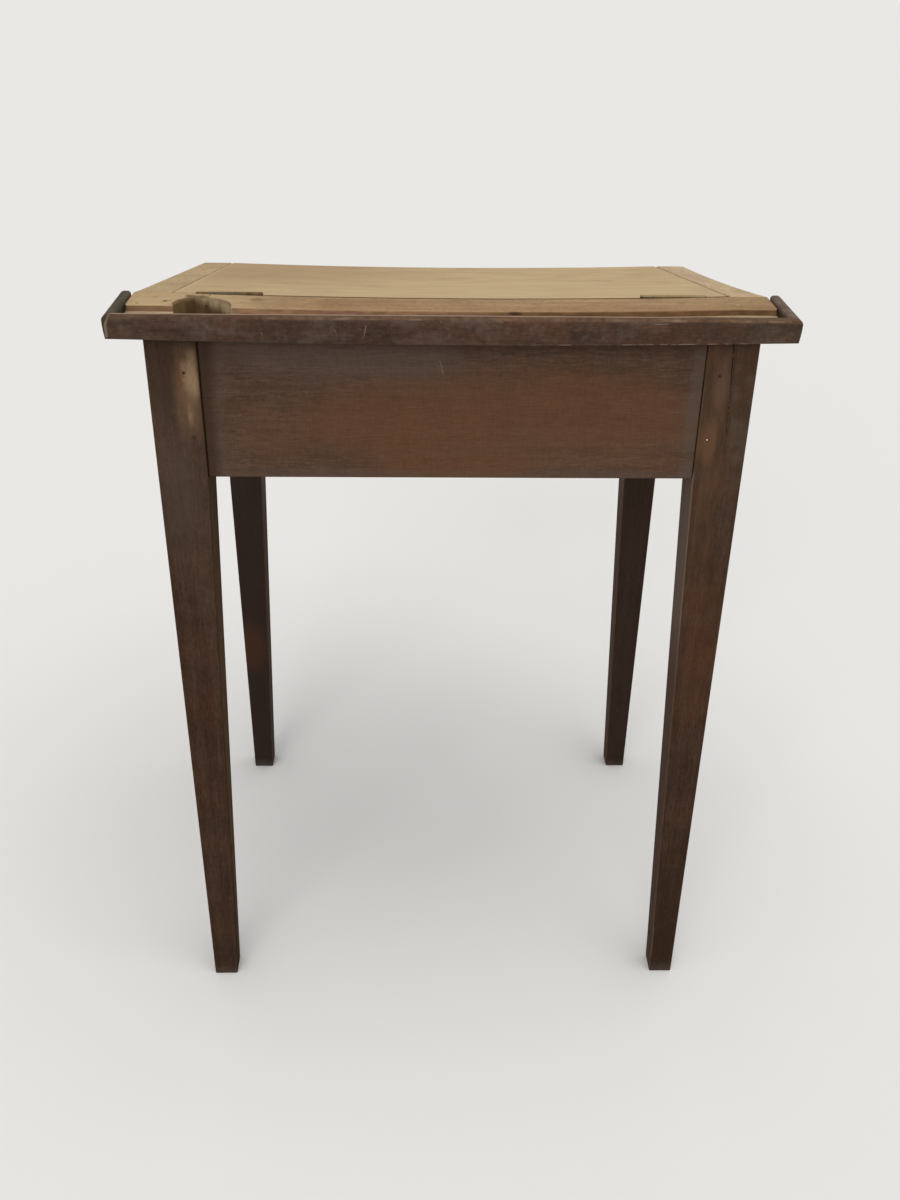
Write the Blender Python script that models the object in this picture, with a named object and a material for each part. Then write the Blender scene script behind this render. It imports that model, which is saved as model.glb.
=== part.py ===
# A single pupil's desk of stained wood: four tapered legs, a book box under a sloping lid,
# a fixed rear strip with pen tray and inkwell hole, and a low pencil rail along the rear edge.
# Metres, +Z up. +X is the right side seen from behind the desk and +Y points to the pupil.
# The origin lies on the floor under the middle of the top.

import math

import bmesh
import bpy
from mathutils import Vector

# Driving dimensions of the frame
base_width = 0.460
base_depth = 0.360
leg_side = 0.039
foot_side = 0.022
leg_arris = 0.0013
strip_underside = 0.661
apron_height = 0.117
apron_thickness = 0.018
apron_inset = 0.002
apron_arris = 0.001

# Driving dimensions of the top
board_thickness = 0.014
side_overhang = 0.0152
rear_overhang = 0.017
front_overhang = 0.010
lid_slope = math.radians(10.5)
hinge_line_setback = 0.073
tray_width = 0.0315
tray_depth = 0.005
side_rail_width = 0.0285
board_arris = 0.0013
top_hollow = 0.0032
side_rail_dips = {"left": 0, "right": 0.0017}

# Pencil rail and its end pieces
rail_thickness = 0.0085
rail_stand = 0.0035
rail_outer_round = 0.0035
rail_inner_round = 0.0025
rail_lean = 0.0009
rail_bow = 0.0029
end_piece_length = 0.067
end_piece_nose = 0.003

# Inkwell hole
inkwell_radius = 0.0215
inkwell_side_inset = 0.0572
inkwell_past_step = 0.0015
inkwell_depth = 0.026
inkwell_rim_wear = 0.0015

# Tenons and the brads that pin them
tenon_thickness = 0.008
tenon_length = 0.022
tenon_top_shoulder = 0.014
tenon_low_shoulder = 0.008
brad_radius = 0.0008
brad_head_radius = 0.0011
brad_head_height = 0.0008
brad_sink = 0.0004
brad_length = 0.024
rear_brad_insets = {"brad_upper": 0.0112, "brad_lower": 0.0076}
rear_brad_shares = {"brad_upper": 0.824, "brad_lower": 0.275}
other_brad_insets = {"brad": 0.0094}
other_brad_shares = {"brad": 0.5}

# Floor boards of the book box, held in grooves of the aprons
floor_thickness = 0.008
floor_lip = 0.012
floor_groove_depth = 0.0045
floor_board_count = 3
floor_board_gap = 0.0008
floor_arris = 0.0006

# Lid and its battens
lid_side_gap = 0.0008
lid_side_shift = 0.0004
lid_joint_share = 0.52
batten_width = 0.030
batten_thickness = 0.012
batten_spread_share = 0.76
batten_rear_clear = 0.025
batten_front_clear = 0.0155
batten_chamfer = 0.002
batten_sole_share = 0.9

# Butt hinges
hinge_length = 0.050
hinge_inset = 0.0439
hinge_axis_drop = 0.0008
hinge_edge_gap = 0.0022
leaf_thickness = 0.001
leaf_gap = 0.0006
leaf_height = 0.011
knuckle_radius = 0.0016
knuckle_count = 5
pin_radius = 0.0008
pin_clearance = 0.0002
pin_head_radius = 0.0013
pin_head_length = 0.0005

# Nails and wood screws
nail_radius = 0.001
nail_head_radius = 0.0019
nail_head_height = 0.0007
strip_nail_length = 0.025
strip_nail_side_inset = 0.0125
strip_nail_land_inset = 0.033
strip_nail_tray_inset = 0.012
side_nail_length = 0.028
side_nail_inset = 0.023
side_nail_shares = (0.16, 0.94)
screw_radius = 0.0012
screw_head_radius = 0.0021
screw_head_depth = 0.001
screw_tip_length = 0.002
leaf_screw_length = 0.010
leaf_screw_drop = 0.0068
leaf_screw_spread = 0.034
batten_screw_length = 0.019
batten_screw_shares = (0.14, 0.62, 0.92)

# Fits and the fineness of round shapes
fit_gap = 0.0003
overrun = 0.004
arris_steps = 2
arris_roundness_share = 0.5
arc_steps = 5
hollow_steps = 12
fine_sides = 32
round_sides = 12
small_sides = 8
sharp_angle = math.radians(35)
along_axis_share = 0.9

# Places that follow from the dimensions above
top_depth = base_depth + rear_overhang + front_overhang
rear_edge = -top_depth / 2
front_edge = top_depth / 2
base_middle = rear_edge + rear_overhang + base_depth / 2
top_half_width = base_width / 2 + side_overhang
knee_height = strip_underside - apron_height
surface_height = strip_underside + board_thickness
tray_floor = surface_height - tray_depth
hinge_line = rear_edge + hinge_line_setback
hinge_axis = Vector((0, hinge_line, surface_height - hinge_axis_drop))
knuckle_length = hinge_length / knuckle_count
strip_rear = rear_edge + rail_thickness + fit_gap
step_line = rear_edge + rail_thickness + tray_width
strip_front = hinge_line - hinge_edge_gap / 2
lid_rear = hinge_line + hinge_edge_gap / 2
rail_height = board_thickness + rail_stand
rail_half_length = top_half_width + fit_gap + rail_thickness
slope_drop = math.tan(lid_slope)
slope_normal = Vector((0, math.sin(lid_slope), math.cos(lid_slope)))
board_foot_shift = board_thickness * math.sin(lid_slope)
underside_bend = hinge_line - board_thickness * math.tan(lid_slope / 2)
lid_half_width = top_half_width - side_rail_width - lid_side_gap
hinge_centres = {"left": hinge_inset - lid_half_width, "right": lid_half_width - hinge_inset}
apron_depth = apron_inset + apron_thickness
tenon_depth = apron_inset + (apron_thickness - tenon_thickness) / 2
tenon_foot = knee_height + tenon_low_shoulder
floor_base = knee_height + floor_lip

SIDES = {"left": -1, "right": 1}
ENDS = {"rear": -1, "front": 1}
ACROSS = Vector((1, 0, 0))
UP = Vector((0, 0, 1))


def base_x(side, inset=0):
    """X at a distance in from the outer face of the left (-1) or right (1) legs."""
    return side * (base_width / 2 - inset)


def base_y(end, inset=0):
    """Y at a distance in from the outer face of the rear (-1) or front (1) legs."""
    return base_middle + end * (base_depth / 2 - inset)


def top_at(y):
    """Height of the top's upper face."""
    return surface_height - max(0, y - hinge_line) * slope_drop


def underside_at(y):
    """Height of the underside of the top, level at the strip and sloping past its bend."""
    sloped = surface_height - board_thickness / math.cos(lid_slope) - (y - hinge_line) * slope_drop
    return min(strip_underside, sloped)


def hollow_at(x):
    """How far the upper faces of the strip and the lid have sunk, most in the middle."""
    return top_hollow * max(0, 1 - (x / lid_half_width) ** 2)


def rail_bow_at(x):
    """How far the pencil rail's lower edge hangs below the strip, most in the middle."""
    return rail_bow * max(0, 1 - (x / top_half_width) ** 2)


def bearing_at(y):
    """Height of the legs' and aprons' upper faces, just under the top."""
    return underside_at(y) - fit_gap


def tenon_head(end):
    """Upper edge of the tenons in the rear or front legs."""
    return bearing_at(base_y(end)) - tenon_top_shoulder


# Mesh building

def loft(bm, rings):
    """Closed solid through rings of points that all run the same way round."""
    loops = [[bm.verts.new(point) for point in ring] for ring in rings]
    faces = [bm.faces.new(loops[0]), bm.faces.new(loops[-1])]
    for near, far in zip(loops, loops[1:]):
        for i in range(len(near)):
            j = (i + 1) % len(near)
            faces.append(bm.faces.new((near[i], near[j], far[j], far[i])))
    bmesh.ops.recalc_face_normals(bm, faces=faces)


def add_block(bm, xs, ys, zs):
    """A block between two values on each axis, given in either order."""
    corners = ((xs[0], ys[0]), (xs[1], ys[0]), (xs[1], ys[1]), (xs[0], ys[1]))
    loft(bm, [[Vector((x, y, z)) for x, y in corners] for z in zs])


def add_board(bm, outline, low, high):
    """A side outline of (y, z) points carried across from x = low to x = high."""
    loft(bm, [[Vector((x, y, z)) for y, z in outline] for x in (low, high)])


def add_hollowed_board(bm, feet, faces, low, high):
    """Feet and faces are (y, z) points of its side outline; the faces sink towards x = 0."""
    steps = [lid_half_width * (2 * i / hollow_steps - 1) for i in range(hollow_steps + 1)]
    rings = []
    for x in (low, *(x for x in steps if low + overrun < x < high - overrun), high):
        sunk = [(y, z - hollow_at(x)) for y, z in faces]
        rings.append([Vector((x, y, z)) for y, z in (*feet, *sunk)])
    loft(bm, rings)


def add_panel(bm, outline, low, high):
    """A plan outline of (x, y) points carried up from z = low to z = high."""
    loft(bm, [[Vector((x, y, z)) for x, y in outline] for z in (low, high)])


def add_turned(bm, profile, start, direction, sides):
    """A turned solid of (distance along, radius) points from start along direction."""
    turn = direction.to_track_quat("Z", "Y").to_matrix()
    rings = []
    for along, radius in profile:
        angles = [math.tau * i / sides for i in range(sides)]
        ring = [Vector((radius * math.cos(a), radius * math.sin(a), along)) for a in angles]
        rings.append([start + turn @ point for point in ring])
    loft(bm, rings)


def add_rod(bm, start, direction, length, radius, sides):
    add_turned(bm, ((0, radius), (length, radius)), start, direction, sides)


def ease(bm, width, keep=None):
    """Rounds the convex sharp edges for which keep(middle, run) is true."""
    edges = []
    for edge in bm.edges:
        first, last = (vert.co for vert in edge.verts)
        middle, run = (first + last) / 2, (last - first).normalized()
        sharp = edge.is_convex and edge.calc_face_angle() > sharp_angle
        if sharp and (keep is None or keep(middle, run)):
            edges.append(edge)
    bmesh.ops.bevel(
        bm,
        geom=edges,
        offset=width,
        segments=arris_steps,
        profile=arris_roundness_share,
        affect="EDGES",
    )


def runs_along(axis):
    """Keeps edges that run mostly along an axis, 0 for X and 1 for Y."""
    return lambda middle, run: abs(run[axis]) > along_axis_share


def beyond(y):
    """Keeps edges that lie further along Y than a board's own end at y."""
    return lambda middle, run: middle.y > y + overrun


def finish_object(name, bm, material=None, origin=Vector((0, 0, 0)), smooth=False):
    bmesh.ops.translate(bm, verts=bm.verts, vec=-origin)
    mesh = bpy.data.meshes.new(name)
    bm.to_mesh(mesh)
    bm.free()
    if smooth:
        mesh.shade_smooth()
        mesh.set_sharp_from_angle(angle=sharp_angle)
    if material:
        mesh.materials.append(material)
    thing = bpy.data.objects.new(name, mesh)
    thing.location = origin
    bpy.context.scene.collection.objects.link(thing)
    return thing


def combine(thing, operation, fillers):
    """Cuts or joins solids that are clear of one another, added to a bmesh by the fillers."""
    bm = bmesh.new()
    for fill in fillers:
        fill(bm)
    tool = finish_object("tool", bm)
    boolean = thing.modifiers.new("shape", "BOOLEAN")
    boolean.operation = operation
    boolean.object = tool
    bpy.context.view_layer.update()
    evaluated = thing.evaluated_get(bpy.context.evaluated_depsgraph_get())
    mesh = bpy.data.meshes.new_from_object(evaluated)
    thing.modifiers.clear()
    thing.data = mesh
    bpy.data.objects.remove(tool)


def cut(thing, *fillers):
    combine(thing, "DIFFERENCE", fillers)


def join(thing, *fillers):
    combine(thing, "UNION", fillers)


def hang_on(parent, thing):
    """Parents a piece that already stands in its place."""
    thing.parent = parent
    thing.location -= parent.location


# Fasteners: a profile gives the piece and, with a clearance, its hole

def nail_profile(length, clear=0):
    return (
        (-clear, nail_head_radius + clear),
        (nail_head_height + clear, nail_head_radius + clear),
        (nail_head_height + clear, nail_radius + clear),
        (length + clear, nail_radius + clear),
    )


def screw_profile(length, clear=0):
    return (
        (-clear, screw_head_radius + clear),
        (screw_head_depth, screw_radius + clear),
        (length - screw_tip_length, screw_radius + clear),
        (length + clear, screw_radius / 2 + clear),
    )


def brad_profile(length, clear=0):
    """A small nail punched below the surface, its hole open at the surface."""
    shoulder = brad_sink + brad_head_height + clear
    return (
        (-clear if clear else brad_sink, brad_head_radius + clear),
        (shoulder, brad_head_radius + clear),
        (shoulder, brad_radius + clear),
        (length + clear, brad_radius + clear),
    )


class Fasteners:
    """A set of equal fasteners: places maps each one's name to its head point and direction."""

    def __init__(self, profile, length, sides, places):
        self.profile = profile
        self.length = length
        self.sides = sides
        self.places = places

    def bore(self, bm):
        """Adds the solids of their holes."""
        for head, direction in self.places.values():
            add_turned(bm, self.profile(self.length, fit_gap), head, direction, self.sides)

    def make(self, material, parent=None):
        """Places copies of one mesh, each with its own Z axis pointing into the wood."""
        mesh = None
        for name, (head, direction) in self.places.items():
            if mesh is None:
                bm = bmesh.new()
                add_turned(bm, self.profile(self.length), Vector((0, 0, 0)), UP, self.sides)
                thing = finish_object(name, bm, material, smooth=True)
                mesh = thing.data
            else:
                thing = bpy.data.objects.new(name, mesh)
                bpy.context.scene.collection.objects.link(thing)
            thing.location = head
            thing.rotation_euler = direction.to_track_quat("Z", "Y").to_euler()
            if parent:
                hang_on(parent, thing)


def strip_nails():
    """Nails down through both ends of the strip, one in the land and one in the tray."""
    places = {}
    for side_name, side in SIDES.items():
        x = base_x(side, strip_nail_side_inset)
        land = Vector((x, base_y(-1, strip_nail_land_inset), surface_height))
        tray = Vector((x, base_y(-1, strip_nail_tray_inset), tray_floor))
        places[f"strip_nail_{side_name}_land"] = (land, -UP)
        places[f"strip_nail_{side_name}_tray"] = (tray, -UP)
    return Fasteners(nail_profile, strip_nail_length, small_sides, places)


def side_rail_nails(side_name):
    """Nails through a side rail, square to its face, into the side apron and the front leg."""
    places = {}
    x = SIDES[side_name] * (top_half_width - side_nail_inset)
    for end_name, share in zip(ENDS, side_nail_shares):
        y = hinge_line + share * (front_edge - hinge_line)
        places[f"side_rail_nail_{side_name}_{end_name}"] = (Vector((x, y, top_at(y))), -slope_normal)
    return Fasteners(nail_profile, side_nail_length, small_sides, places)


def cross_apron_brads(end_name):
    """Brads that run along Y through the tenons of the rear or front apron."""
    end = ENDS[end_name]
    insets = rear_brad_insets if end < 0 else other_brad_insets
    shares = rear_brad_shares if end < 0 else other_brad_shares
    height = tenon_head(end) - tenon_foot
    places = {}
    for side_name, side in SIDES.items():
        for row, inset in insets.items():
            x = base_x(side, leg_side - inset)
            head = Vector((x, base_y(end), tenon_foot + shares[row] * height))
            places[f"apron_{end_name}_{row}_{side_name}"] = (head, Vector((0, -end, 0)))
    return Fasteners(brad_profile, brad_length, small_sides, places)


def side_apron_brads(side_name):
    """Brads that run along X through the tenons of a side apron."""
    side = SIDES[side_name]
    places = {}
    for end_name, end in ENDS.items():
        height = tenon_head(end) - tenon_foot
        for row, inset in other_brad_insets.items():
            y = base_y(end, leg_side - inset)
            head = Vector((base_x(side), y, tenon_foot + other_brad_shares[row] * height))
            places[f"apron_{side_name}_{row}_{end_name}"] = (head, Vector((-side, 0, 0)))
    return Fasteners(brad_profile, brad_length, small_sides, places)


def leaf_screws(side_name, toward):
    """Screws of one hinge leaf, into the strip (toward -1) or the lid (toward 1)."""
    board = "strip" if toward < 0 else "lid"
    places = {}
    for end_name, end in SIDES.items():
        x = hinge_centres[side_name] + end * leaf_screw_spread / 2
        head = Vector((x, hinge_line + toward * leaf_gap / 2, hinge_axis.z - leaf_screw_drop))
        name = f"hinge_{side_name}_{board}_screw_{end_name}"
        places[name] = (head, Vector((0, toward, 0)))
    return Fasteners(screw_profile, leaf_screw_length, small_sides, places)


batten_rear = hinge_line + batten_rear_clear
batten_front = base_y(1, apron_depth) - batten_front_clear
batten_middle = batten_spread_share * lid_half_width


def batten_screws(side_name):
    """Screws up through a batten into the lid boards."""
    places = {}
    for number, share in enumerate(batten_screw_shares, 1):
        y = batten_rear + share * (batten_front - batten_rear)
        sole = Vector((SIDES[side_name] * batten_middle, y, bearing_at(y)))
        sole -= slope_normal * batten_thickness
        places[f"lid_batten_{side_name}_screw_{number}"] = (sole, slope_normal)
    return Fasteners(screw_profile, batten_screw_length, small_sides, places)


# Legs

def make_leg(side_name, end_name, material):
    """Square at the aprons, tapered on its two inner faces below them, with two mortises."""
    side, end = SIDES[side_name], ENDS[end_name]

    def ring(section, height):
        xs = (base_x(side), base_x(side, section))
        ys = (base_y(end), base_y(end, section))
        corners = ((xs[0], ys[0]), (xs[1], ys[0]), (xs[1], ys[1]), (xs[0], ys[1]))
        return [Vector((x, y, height(y))) for x, y in corners]

    foot = ring(foot_side, lambda y: 0)
    knee = ring(leg_side, lambda y: knee_height)
    bm = bmesh.new()
    loft(bm, [foot, knee, ring(leg_side, bearing_at)])
    ease(bm, leg_arris)
    leg = finish_object(f"leg_{end_name}_{side_name}", bm, material)

    across = (tenon_depth - fit_gap, tenon_depth + tenon_thickness + fit_gap)
    inward = (leg_side - tenon_length - fit_gap, leg_side + overrun)
    heights = (tenon_foot - fit_gap, tenon_head(end) + fit_gap)

    def mortise(bm, x_insets, y_insets):
        xs = [base_x(side, inset) for inset in x_insets]
        add_block(bm, xs, [base_y(end, inset) for inset in y_insets], heights)

    nails = strip_nails() if end < 0 else side_rail_nails(side_name)
    cut(leg, lambda bm: mortise(bm, inward, across), lambda bm: mortise(bm, across, inward))
    cut(leg, cross_apron_brads(end_name).bore, side_apron_brads(side_name).bore, nails.bore)
    if end < 0:
        cut(leg, inkwell_bore)


def inkwell_bore(bm):
    """The round inkwell hole with its worn rim, cut on the step between tray and land."""
    straight = inkwell_depth - inkwell_rim_wear
    profile = [(0, inkwell_radius), (straight, inkwell_radius)]
    for i in range(1, arc_steps + 1):
        angle = math.pi / 2 * i / arc_steps
        rise = inkwell_rim_wear * math.sin(angle)
        flare = inkwell_rim_wear * (1 - math.cos(angle))
        profile.append((straight + rise, inkwell_radius + flare))
    profile.append((inkwell_depth + overrun, inkwell_radius + inkwell_rim_wear))
    x = inkwell_side_inset - top_half_width
    bottom = Vector((x, step_line + inkwell_past_step, surface_height - inkwell_depth))
    add_turned(bm, profile, bottom, UP, fine_sides)


# Aprons

def floor_groove_heights():
    return floor_base, floor_base + floor_thickness + 2 * fit_gap


def make_cross_apron(end_name, material):
    """The rear or front apron: its tenons enter the legs along X, its inner face is grooved."""
    end = ENDS[end_name]
    outer, inner = base_y(end, apron_inset), base_y(end, apron_depth)
    shoulder = base_x(1, leg_side + fit_gap)
    tip = base_x(1, leg_side - tenon_length)
    outline = [(y, knee_height) for y in (outer, inner)]
    outline += [(y, bearing_at(y)) for y in (inner, outer)]
    bm = bmesh.new()
    add_board(bm, outline, -shoulder, shoulder)
    ease(bm, apron_arris, runs_along(0))
    apron = finish_object(f"apron_{end_name}", bm, material)

    def tenons(bm):
        ys = (base_y(end, tenon_depth), base_y(end, tenon_depth + tenon_thickness))
        for side in SIDES.values():
            xs = (side * (shoulder - overrun), side * tip)
            add_block(bm, xs, ys, (tenon_foot, tenon_head(end)))

    def groove(bm):
        ys = (inner - end * overrun, inner + end * floor_groove_depth)
        reach = shoulder + overrun
        add_block(bm, (-reach, reach), ys, floor_groove_heights())

    join(apron, tenons)
    cut(apron, groove)
    cut(apron, cross_apron_brads(end_name).bore)
    if end < 0:
        cut(apron, inkwell_bore)


def make_side_apron(side_name, material):
    """A side apron, level under the strip and sloping under the side rail of the top."""
    side = SIDES[side_name]
    outer, inner = base_x(side, apron_inset), base_x(side, apron_depth)
    rear, front = base_y(-1, leg_side + fit_gap), base_y(1, leg_side + fit_gap)
    outline = [(rear, knee_height), (front, knee_height)]
    outline += [(y, bearing_at(y)) for y in (front, underside_bend, rear)]
    bm = bmesh.new()
    add_board(bm, outline, outer, inner)
    ease(bm, apron_arris, runs_along(1))
    apron = finish_object(f"apron_{side_name}", bm, material)

    def tenons(bm):
        xs = (base_x(side, tenon_depth), base_x(side, tenon_depth + tenon_thickness))
        for end, shoulder in ((-1, rear), (1, front)):
            ys = (shoulder - end * overrun, base_y(end, leg_side - tenon_length))
            add_block(bm, xs, ys, (tenon_foot, tenon_head(end)))

    def groove(bm):
        xs = (inner - side * overrun, inner + side * floor_groove_depth)
        add_block(bm, xs, (rear - overrun, front + overrun), floor_groove_heights())

    join(apron, tenons)
    cut(apron, groove)
    cut(apron, side_apron_brads(side_name).bore, side_rail_nails(side_name).bore)


# Floor of the book box

def make_floor_board(number, material):
    """A board across the box, its ends in the grooves, notched round the legs it meets."""
    in_groove = apron_depth - floor_groove_depth + fit_gap
    rear, front = base_y(-1, in_groove), base_y(1, in_groove)
    pitch = (front - rear + floor_board_gap) / floor_board_count
    low = rear + number * pitch
    high = low + pitch - floor_board_gap
    full, narrow = base_x(1, in_groove), base_x(1, leg_side + fit_gap)
    rear_notch, front_notch = base_y(-1, leg_side + fit_gap), base_y(1, leg_side + fit_gap)
    right = [(full, low), (full, high)]
    if low < rear_notch:
        right = [(narrow, low), (narrow, rear_notch), (full, rear_notch), (full, high)]
    if high > front_notch:
        right = [(full, low), (full, front_notch), (narrow, front_notch), (narrow, high)]
    outline = right + [(-x, y) for x, y in reversed(right)]
    foot = floor_base + fit_gap
    bm = bmesh.new()
    add_panel(bm, outline, foot, foot + floor_thickness)
    ease(bm, floor_arris, runs_along(0))
    finish_object(f"floor_board_{number + 1}", bm, material)


# Fixed boards of the top

def cut_for_hinges(board, toward):
    """Barrel slots, leaf gains and screw holes in the strip (-1) or the lid (1)."""
    slot_radius = knuckle_radius + 2 * pin_clearance
    slot_half = hinge_length / 2 + pin_head_length + 2 * fit_gap
    leaf_back = leaf_gap / 2 + leaf_thickness + fit_gap
    half = hinge_length / 2 + fit_gap
    foot = hinge_axis.z - leaf_height - fit_gap

    def slots(bm):
        for centre in hinge_centres.values():
            start = hinge_axis + ACROSS * (centre - slot_half)
            add_rod(bm, start, ACROSS, 2 * slot_half, slot_radius, round_sides)

    def gains(bm):
        ys = [hinge_line + toward * reach for reach in (leaf_gap, leaf_back)]
        for centre in hinge_centres.values():
            add_block(bm, (centre - half, centre + half), ys, (foot, hinge_axis.z))

    cut(board, slots)
    cut(board, gains)
    cut(board, *(leaf_screws(side_name, toward).bore for side_name in SIDES))


def make_strip(material):
    """Fixed rear strip: pen tray, step, inkwell hole and the edge that carries the hinges."""
    feet = ((strip_rear, strip_underside), (strip_front, strip_underside))
    faces = (
        (strip_front, surface_height),
        (step_line, surface_height),
        (step_line, tray_floor),
        (strip_rear, tray_floor),
    )
    bm = bmesh.new()
    add_hollowed_board(bm, feet, faces, -top_half_width, top_half_width)
    ease(bm, board_arris, lambda middle, run: abs(middle.y - step_line) < fit_gap)
    strip = finish_object("hinge_strip", bm, material)
    cut(strip, inkwell_bore, strip_nails().bore)
    cut_for_hinges(strip, -1)


def make_side_rail(side_name, material):
    """Fixed sloping board beside the lid; its outer edge may dip between its ends."""
    side = SIDES[side_name]
    rear = strip_front + fit_gap
    foot = front_edge - board_foot_shift

    def ring(x, dip):
        points = [(y, underside_at(y)) for y in (rear, foot)]
        for i in range(hollow_steps + 1):
            share = 1 - i / hollow_steps
            y = hinge_line + share * (front_edge - hinge_line)
            points.append((y, top_at(y) - 4 * dip * share * (1 - share)))
        return [Vector((x, y, z)) for y, z in (*points, (rear, top_at(rear)))]

    outer, inner = side * top_half_width, side * (top_half_width - side_rail_width)
    bm = bmesh.new()
    loft(bm, [ring(outer, side_rail_dips[side_name]), ring(inner, 0)])
    ease(bm, board_arris, beyond(rear))
    rail = finish_object(f"top_side_rail_{side_name}", bm, material)
    cut(rail, side_rail_nails(side_name).bore)


# Pencil rail and end pieces

def rail_face_lean(height):
    """How far the moulding's outer face draws in at a height above its foot."""
    straight = rail_height - rail_outer_round
    return rail_lean * (1 - height / straight) ** 2


def rail_section():
    """Moulding section as (distance in from the outer face, height above the foot)."""
    quarter = [math.pi / 2 * i / arc_steps for i in range(arc_steps + 1)]
    points = [(rail_thickness, 0)]
    for angle in quarter:
        inward = rail_thickness - rail_inner_round * (1 - math.cos(angle))
        points.append((inward, rail_height - rail_inner_round * (1 - math.sin(angle))))
    for angle in quarter:
        inward = rail_outer_round * (1 - math.sin(angle))
        points.append((inward, rail_height - rail_outer_round * (1 - math.cos(angle))))
    straight = rail_height - rail_outer_round
    for i in range(1, arc_steps + 1):
        height = straight * (1 - i / arc_steps)
        points.append((rail_face_lean(height), height))
    return points


mitre_gap = fit_gap / math.sqrt(2)


def make_pencil_rail(material):
    """The moulding along the rear edge, mitred at both ends, its lower edge bowed down."""
    half = rail_half_length - mitre_gap

    def ring(x_of):
        points = []
        for inward, up in rail_section():
            x = x_of(inward)
            height = up - rail_bow_at(x) * (1 - up / rail_height)
            points.append(Vector((x, rear_edge + inward, strip_underside + height)))
        return points

    rings = [ring(lambda inward: inward - half)]
    for i in range(1, hollow_steps):
        rings.append(ring(lambda inward: top_half_width * (2 * i / hollow_steps - 1)))
    rings.append(ring(lambda inward: half - inward))
    bm = bmesh.new()
    loft(bm, rings)
    finish_object("pencil_rail", bm, material, smooth=True)


def make_end_piece(side_name, material):
    """Short return of the pencil rail, mitred at the corner and rounded at its far end."""
    side = SIDES[side_name]
    far = rear_edge + end_piece_length
    middle_in, middle_up = rail_thickness / 2, rail_height / 2

    def place(inward, along, up):
        return Vector((side * (rail_half_length - inward), along, strip_underside + up))

    mitre = [place(inward, rear_edge + inward + mitre_gap, up) for inward, up in rail_section()]
    rings = [mitre]
    for i in range(arc_steps + 1):
        angle = math.pi / 2 * i / arc_steps
        along = far - end_piece_nose * (1 - math.sin(angle))
        narrowing = end_piece_nose * (1 - math.cos(angle))
        ring = []
        for inward, up in rail_section():
            near_in = middle_in + (inward - middle_in) * (1 - narrowing / middle_in)
            near_up = middle_up + (up - middle_up) * (1 - narrowing / middle_up)
            ring.append(place(near_in, along, near_up))
        rings.append(ring)
    bm = bmesh.new()
    loft(bm, rings)
    finish_object(f"rail_end_piece_{side_name}", bm, material, smooth=True)


# Lid: two edge-jointed boards on two battens, turning about the hinge axis

def make_lid_boards(parent, material):
    joint = hinge_line + lid_joint_share * (front_edge - hinge_line)

    def add_lid_board(bm, rear_foot, rear_face, front_face):
        front_foot = front_face - board_foot_shift
        feet = [(y, underside_at(y)) for y in (rear_foot, front_foot)]
        faces = [(y, top_at(y)) for y in (front_face, rear_face)]
        low, high = -lid_half_width - lid_side_shift, lid_half_width - lid_side_shift
        add_hollowed_board(bm, feet, faces, low, high)

    bm = bmesh.new()
    add_lid_board(bm, lid_rear, lid_rear, joint - fit_gap)
    ease(bm, board_arris, runs_along(1))
    rear = finish_object("lid_board_rear", bm, material, hinge_axis)

    bm = bmesh.new()
    add_lid_board(bm, joint - board_foot_shift, joint, front_edge)
    ease(bm, board_arris, beyond(joint))
    front = finish_object("lid_board_front", bm, material, hinge_axis)

    cut_for_hinges(rear, 1)
    for board in (rear, front):
        cut(board, *(batten_screws(side_name).bore for side_name in SIDES))
        hang_on(parent, board)


def make_batten(side_name, parent, material):
    """Cross batten under the lid boards, chamfered below."""
    middle = SIDES[side_name] * batten_middle
    rear, front = (Vector((0, y, bearing_at(y))) for y in (batten_rear, batten_front))
    drop = slope_normal * batten_thickness
    outline = [(point.y, point.z) for point in (rear - drop, front - drop, front, rear)]
    bm = bmesh.new()
    add_board(bm, outline, middle - batten_width / 2, middle + batten_width / 2)
    depth = batten_thickness * batten_sole_share
    ease(bm, batten_chamfer, lambda at, run: slope_normal.dot(at - rear) < -depth)
    batten = finish_object(f"lid_batten_{side_name}", bm, material, hinge_axis)
    cut(batten, batten_screws(side_name).bore)
    hang_on(parent, batten)


# Butt hinges

def add_knuckles(bm, side_name, numbers, radius, extra=0):
    """Rods along the hinge axis at the numbered knuckles, each longer by extra at both ends."""
    first = hinge_centres[side_name] - hinge_length / 2
    for number in numbers:
        low = first + number * knuckle_length + fit_gap / 2 - extra
        length = knuckle_length - fit_gap + 2 * extra
        add_rod(bm, hinge_axis + ACROSS * low, ACROSS, length, radius, round_sides)


def make_leaf(side_name, toward, material):
    """A leaf and its knuckles: the strip's leaf (-1) has the outer ones, the lid's (1) the rest."""
    own = range(0 if toward < 0 else 1, knuckle_count, 2)
    others = range(1 if toward < 0 else 0, knuckle_count, 2)
    centre = hinge_centres[side_name]
    half = (hinge_length - fit_gap) / 2
    ys = [hinge_line + toward * reach for reach in (leaf_gap / 2, leaf_gap / 2 + leaf_thickness)]
    zs = (hinge_axis.z - leaf_height, hinge_axis.z - (knuckle_radius + pin_radius) / 2)
    bm = bmesh.new()
    add_block(bm, (centre - half, centre + half), ys, zs)
    board = "strip" if toward < 0 else "lid"
    leaf = finish_object(f"hinge_{side_name}_{board}_leaf", bm, material, hinge_axis + ACROSS * centre)
    bore_radius = pin_radius + pin_clearance
    join(leaf, lambda bm: add_knuckles(bm, side_name, own, knuckle_radius))
    cut(leaf, lambda bm: add_knuckles(bm, side_name, others, knuckle_radius + fit_gap, fit_gap))
    cut(leaf, lambda bm: add_knuckles(bm, side_name, range(knuckle_count), bore_radius, fit_gap / 2))
    cut(leaf, leaf_screws(side_name, toward).bore)
    return leaf


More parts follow.
